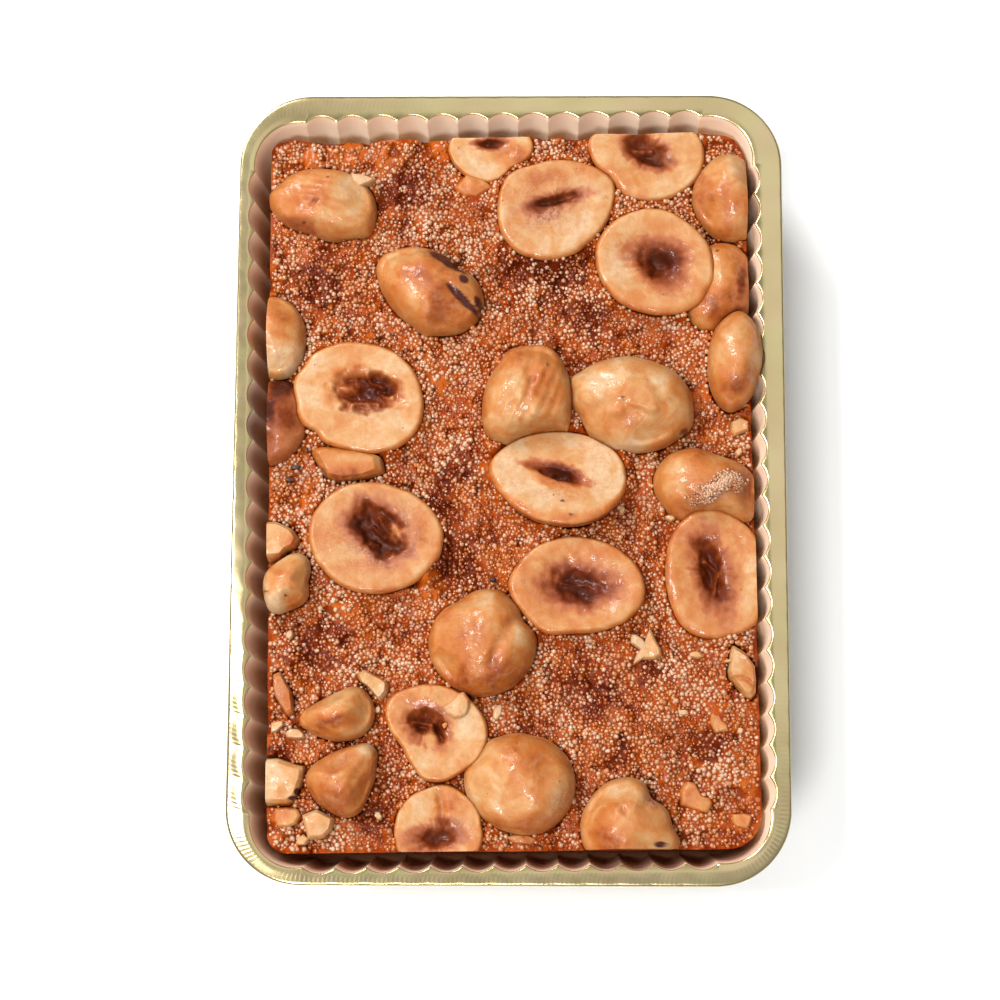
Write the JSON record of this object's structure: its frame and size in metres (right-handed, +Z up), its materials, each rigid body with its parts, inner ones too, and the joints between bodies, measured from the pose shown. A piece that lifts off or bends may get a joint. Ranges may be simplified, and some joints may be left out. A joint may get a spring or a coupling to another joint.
{
  "type": "hazelnut basema",
  "caption": "Syrup-soaked coarse semolina slab topped with roasted hazelnut halves, cut to fit its own shallow fluted gold film tray with a flat rim.",
  "frame": {"origin": "under the middle of the tray's rim outline, on the surface that the tray stands on", "axes": "+X along the pan's short side, +Y along its long side, +Z up out of the tray"},
  "size_m": [0.076, 0.1092, 0.0242],
  "materials": {
    "gold_film": "metallised gold-coloured plastic film, glossy",
    "semolina": "coarse crumb, syrupy and browned",
    "hazelnut": "roasted and glazed with syrup",
    "toasted_nut": "dark roasted and glazed with syrup"
  },
  "bodies": {
    "root": {"tray": "gold_film", "slab": "semolina", "nut_half_a": "hazelnut", "nut_half_b": "hazelnut", "nut_half_c": "hazelnut", "nut_half_d": "hazelnut", "nut_half_e": "hazelnut", "nut_half_f": "hazelnut", "nut_half_g": "hazelnut", "nut_half_h": "hazelnut", "nut_half_i": "hazelnut", "nut_half_j": "hazelnut", "nut_half_k": "hazelnut", "nut_back_a": "hazelnut", "nut_back_b": "hazelnut", "nut_back_c": "hazelnut", "nut_back_d": "hazelnut", "nut_back_e": "hazelnut", "nut_back_f": "hazelnut", "nut_back_g": "toasted_nut", "nut_back_h": "hazelnut", "nut_back_i": "hazelnut", "nut_back_j": "hazelnut", "nut_back_k": "hazelnut", "nut_back_l": "hazelnut", "nut_back_m": "hazelnut", "nut_back_n": "hazelnut", "nut_back_o": "hazelnut", "nut_piece_a": "hazelnut", "nut_piece_b": "hazelnut", "nut_piece_c": "hazelnut", "nut_piece_d": "hazelnut", "nut_piece_e": "hazelnut", "nut_piece_f": "hazelnut"}
  },
  "joints": []
}
